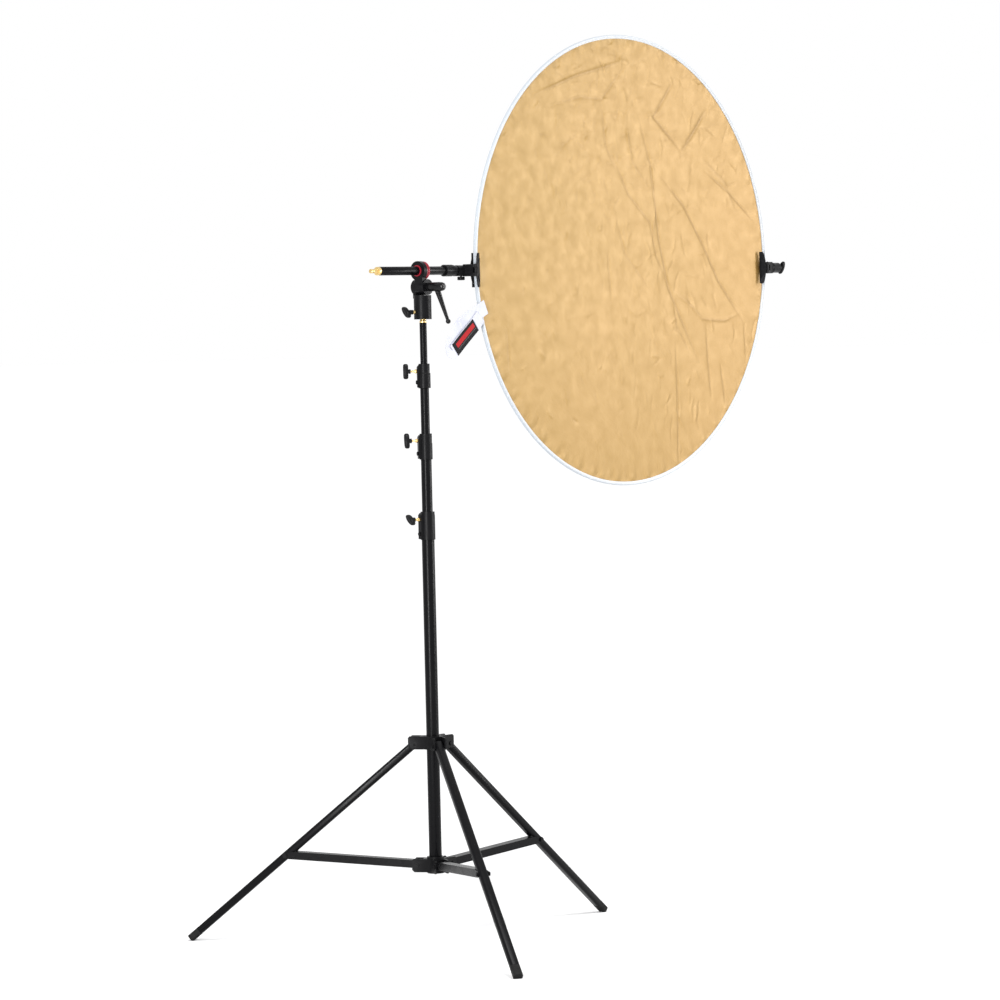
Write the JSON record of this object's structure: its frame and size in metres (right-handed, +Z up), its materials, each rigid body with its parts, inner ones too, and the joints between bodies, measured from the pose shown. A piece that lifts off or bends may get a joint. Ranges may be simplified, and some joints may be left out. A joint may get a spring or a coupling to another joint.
{
  "type": "boom reflector stand",
  "caption": "Round gold fabric reflector clipped in a telescopic boom on a folding light stand with a tilting clamp head.",
  "frame": {"origin": "middle of the bounding box on the floor plane", "axes": "+Z up, +X along the boom from the stand towards the reflector, the gold face looks along -Y"},
  "size_m": [1.8244, 1.1514, 2.3345],
  "materials": {
    "anodised": "satin black anodised",
    "casting": "black textured paint on cast alloy",
    "plastic": "moulded black",
    "brass": "polished",
    "steel": "plain",
    "red": "semi gloss red",
    "gold": "gold coated cloth",
    "white": "white bound cloth",
    "patch": "black woven patch"
  },
  "bodies": {
    "column": {"base_column": "anodised", "column_end_plug": "plastic", "lower_spider": "casting", "lock_collar_1": "casting"},
    "leg_collar": {"upper_spider": "casting"},
    "spider_knob": {"spider_knob": "plastic", "spider_screw": "brass"},
    "riser_1": {"riser_1": "anodised", "lock_collar_2": "casting"},
    "riser_2": {"riser_2": "anodised", "lock_collar_3": "casting"},
    "riser_3": {"riser_3": "anodised", "top_spigot": "brass"},
    "head_socket": {"socket_body": "casting"},
    "socket_knob": {"socket_knob": "plastic", "socket_screw": "brass"},
    "tilt_head": {"tilt_body": "casting"},
    "tilt_bolt": {"tilt_bolt": "steel"},
    "clamp_lever": {"clamp_lever": "plastic"},
    "boom_bushing": {"boom_bushing": "red"},
    "boom": {"boom_outer_tube": "anodised", "tail_spigot": "brass"},
    "twist_collar": {"boom_twist_collar": "plastic"},
    "boom_inner": {"boom_inner_tube": "anodised", "right_clip_body": "plastic"},
    "left_clip": {"left_clip_body": "plastic"},
    "left_jaw": {"left_front_jaw": "plastic", "left_jaw_pin": "steel"},
    "left_screw": {"left_thumb_screw": "plastic"},
    "right_jaw": {"right_front_jaw": "plastic", "right_jaw_pin": "steel"},
    "end_knob": {"end_knob": "plastic"},
    "reflector": {"rim_binding": "white", "rim_hoop": "steel", "reflector_fabric": "gold", "strap": "white", "strap_label": "patch"},
    "knob_1": {"lock_knob_1": "plastic", "knob_screw_1": "brass"},
    "brace_1": {"brace_1": "anodised", "brace_bolt_1": "steel", "leg_bolt_1": "casting"},
    "leg_1": {"leg_tube_1": "anodised", "leg_foot_1": "plastic"},
    "knob_2": {"lock_knob_2": "plastic", "knob_screw_2": "brass"},
    "brace_2": {"brace_2": "anodised", "brace_bolt_2": "steel", "leg_bolt_2": "casting"},
    "leg_2": {"leg_tube_2": "anodised", "leg_foot_2": "plastic"},
    "knob_3": {"lock_knob_3": "plastic", "knob_screw_3": "brass"},
    "brace_3": {"brace_3": "anodised", "brace_bolt_3": "steel", "leg_bolt_3": "casting"},
    "leg_3": {"leg_tube_3": "anodised", "leg_foot_3": "plastic"}
  },
  "joints": [
    {"name": "leg_fold", "type": "slide", "parent": "column", "child": "leg_collar", "axis": [0, 0, 1], "range_m": [0, 0.48488]},
    {"name": "brace_1_fold", "type": "hinge", "parent": "column", "child": "brace_1", "pos_m": [-0.52626, 0, 0.2], "axis": [0, -1, 0], "range_deg": [0, 85.78]},
    {"name": "leg_1_fold", "type": "hinge", "parent": "brace_1", "child": "leg_1", "pos_m": [-0.18047, 0, 0.22212], "axis": [0, 1, 0], "range_deg": [0, 136.03]},
    {"name": "brace_2_fold", "type": "hinge", "parent": "column", "child": "brace_2", "pos_m": [-0.59676, 0.0407, 0.2], "axis": [0.866, 0.5, 0], "range_deg": [0, 85.78]},
    {"name": "leg_2_fold", "type": "hinge", "parent": "brace_2", "child": "leg_2", "pos_m": [-0.76965, 0.34016, 0.22212], "axis": [-0.866, -0.5, 0], "range_deg": [0, 136.03]},
    {"name": "brace_3_fold", "type": "hinge", "parent": "column", "child": "brace_3", "pos_m": [-0.59676, -0.0407, 0.2], "axis": [-0.866, 0.5, 0], "range_deg": [0, 85.78]},
    {"name": "leg_3_fold", "type": "hinge", "parent": "brace_3", "child": "leg_3", "pos_m": [-0.76965, -0.34016, 0.22212], "axis": [0.866, -0.5, 0], "range_deg": [0, 136.03]},
    {"name": "spider_knob_turn", "type": "hinge", "parent": "leg_collar", "child": "spider_knob", "pos_m": [-0.57326, 0, 0.513], "axis": [0.5, 0.866, 0], "range_deg": [0, 360]},
    {"name": "riser_1_slide", "type": "slide", "parent": "column", "child": "riser_1", "axis": [0, 0, 1], "range_m": [-0.13, 0.62]},
    {"name": "riser_2_slide", "type": "slide", "parent": "riser_1", "child": "riser_2", "axis": [0, 0, 1], "range_m": [-0.112, 0.7]},
    {"name": "riser_3_slide", "type": "slide", "parent": "riser_2", "child": "riser_3", "axis": [0, 0, 1], "range_m": [-0.096, 0.75]},
    {"name": "lock_knob_1_turn", "type": "hinge", "parent": "column", "child": "knob_1", "pos_m": [-0.57326, 0, 1.082], "axis": [-0.9563, 0.2924, 0], "range_deg": [0, 360]},
    {"name": "lock_knob_2_turn", "type": "hinge", "parent": "riser_1", "child": "knob_2", "pos_m": [-0.57326, 0, 1.282], "axis": [-0.8192, 0.5736, 0], "range_deg": [0, 360]},
    {"name": "lock_knob_3_turn", "type": "hinge", "parent": "riser_2", "child": "knob_3", "pos_m": [-0.57326, 0, 1.458], "axis": [-0.7431, 0.6691, 0], "range_deg": [0, 360]},
    {"name": "head_pan", "type": "hinge", "parent": "riser_3", "child": "head_socket", "pos_m": [-0.57326, 0, 1.608], "axis": [0, 0, 1], "continuous": true},
    {"name": "socket_knob_turn", "type": "hinge", "parent": "head_socket", "child": "socket_knob", "pos_m": [-0.57326, 0, 1.608], "axis": [-0.9563, 0.2924, 0], "range_deg": [0, 360]},
    {"name": "head_tilt", "type": "hinge", "parent": "head_socket", "child": "tilt_head", "pos_m": [-0.57326, 0, 1.671], "axis": [0, 1, 0], "range_deg": [-60, 58]},
    {"name": "lever_turn", "type": "hinge", "parent": "head_socket", "child": "tilt_bolt", "pos_m": [-0.57326, 0, 1.671], "axis": [0, 1, 0], "range_deg": [-180, 180]},
    {"name": "lever_pull", "type": "slide", "parent": "tilt_bolt", "child": "clamp_lever", "axis": [0, -1, 0], "range_m": [0, 0.006], "stiffness_N_per_m": 300, "springref_m": -0.01},
    {"name": "boom_roll", "type": "hinge", "parent": "tilt_head", "child": "boom_bushing", "pos_m": [-0.57326, 0, 1.7125], "axis": [1, 0, 0], "continuous": true},
    {"name": "boom_slide", "type": "slide", "parent": "boom_bushing", "child": "boom", "axis": [1, 0, 0], "range_m": [-0.074, 0.1]},
    {"name": "twist_collar_turn", "type": "hinge", "parent": "boom", "child": "twist_collar", "pos_m": [-0.46826, 0, 1.7125], "axis": [1, 0, 0], "range_deg": [0, 90]},
    {"name": "boom_extend", "type": "slide", "parent": "boom", "child": "boom_inner", "axis": [1, 0, 0], "range_m": [0, 0.15]},
    {"name": "left_clip_slide", "type": "slide", "parent": "boom_inner", "child": "left_clip", "axis": [1, 0, 0], "range_m": [-0.0025, 0]},
    {"name": "left_screw_turn", "type": "hinge", "parent": "left_clip", "child": "left_screw", "pos_m": [-0.42626, 0, 1.695], "axis": [0, 0, 1], "range_deg": [0, 360]},
    {"name": "left_jaw_open", "type": "hinge", "parent": "left_clip", "child": "left_jaw", "pos_m": [-0.41926, -0.0455, 1.7125], "axis": [0, 0, -1], "range_deg": [0, 95], "stiffness_Nm_per_rad": 0.2, "springref_deg": -28.65},
    {"name": "right_jaw_open", "type": "hinge", "parent": "boom_inner", "child": "right_jaw", "pos_m": [0.78424, -0.0455, 1.7125], "axis": [0, 0, 1], "range_deg": [0, 95], "stiffness_Nm_per_rad": 0.2, "springref_deg": -28.65},
    {"name": "end_knob_turn", "type": "hinge", "parent": "boom_inner", "child": "end_knob", "pos_m": [0.90574, 0, 1.7125], "axis": [1, 0, 0], "range_deg": [0, 360]},
    {"name": "reflector_remove", "type": "slide", "parent": "boom_inner", "child": "reflector", "axis": [0, 0, -1], "range_m": [0, 0.72]}
  ],
  "couplings": [
    {"joint": "brace_1_fold", "follows": "leg_fold", "rad_per_m": 3.087},
    {"joint": "leg_1_fold", "follows": "leg_fold", "rad_per_m": 4.8957},
    {"joint": "brace_2_fold", "follows": "leg_fold", "rad_per_m": 3.087},
    {"joint": "leg_2_fold", "follows": "leg_fold", "rad_per_m": 4.8957},
    {"joint": "brace_3_fold", "follows": "leg_fold", "rad_per_m": 3.087},
    {"joint": "leg_3_fold", "follows": "leg_fold", "rad_per_m": 4.8957}
  ]
}
